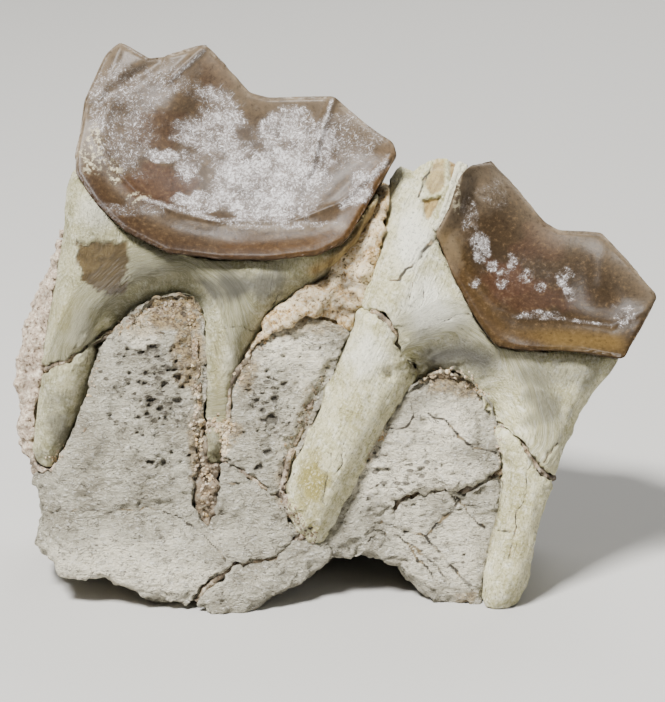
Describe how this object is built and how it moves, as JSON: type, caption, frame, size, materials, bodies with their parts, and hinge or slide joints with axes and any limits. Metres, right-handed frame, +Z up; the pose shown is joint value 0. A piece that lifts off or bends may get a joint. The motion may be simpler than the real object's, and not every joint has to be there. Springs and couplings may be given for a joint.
{
  "type": "fossil rhinoceros upper jaw fragment",
  "caption": "Fossil upper-jaw fragment of an early rhinoceros: brown enamel molar crowns on pale roots, set in cracked bone and silty matrix, standing crowns up.",
  "frame": {"origin": "on the floor, under the middle of the specimen's box", "axes": "+X along the tooth row from the front molar to the rear molar, +Y from the cheek side to the palate side, +Z up towards the crowns"},
  "size_m": [0.0766, 0.0454, 0.0645],
  "materials": {
    "enamel": "glossy brown fossil enamel",
    "dentine": "smooth pale cement and dentine",
    "bone": "dry, pitted, cracked fossil bone",
    "matrix": "granular silt"
  },
  "bodies": {
    "root": {"front_molar_crown": "enamel", "front_molar_neck": "dentine", "front_molar_mesial_root": "dentine", "front_molar_distal_root": "dentine", "front_molar_lingual_root": "dentine", "rear_molar_crown": "enamel", "rear_molar_neck": "dentine", "rear_molar_mesial_dentine": "dentine", "rear_molar_mesial_root": "dentine", "rear_molar_distal_root": "dentine", "rear_molar_lingual_root": "dentine", "bone_front_plate": "bone", "bone_lower_fragment": "bone", "bone_middle_plate": "bone", "bone_rear_plate_upper": "bone", "bone_rear_plate_lower": "bone", "bone_palate_front": "bone", "bone_palate_rear": "bone", "matrix_mesial": "matrix", "matrix_between_molars": "matrix", "matrix_root_socket": "matrix"}
  },
  "joints": []
}
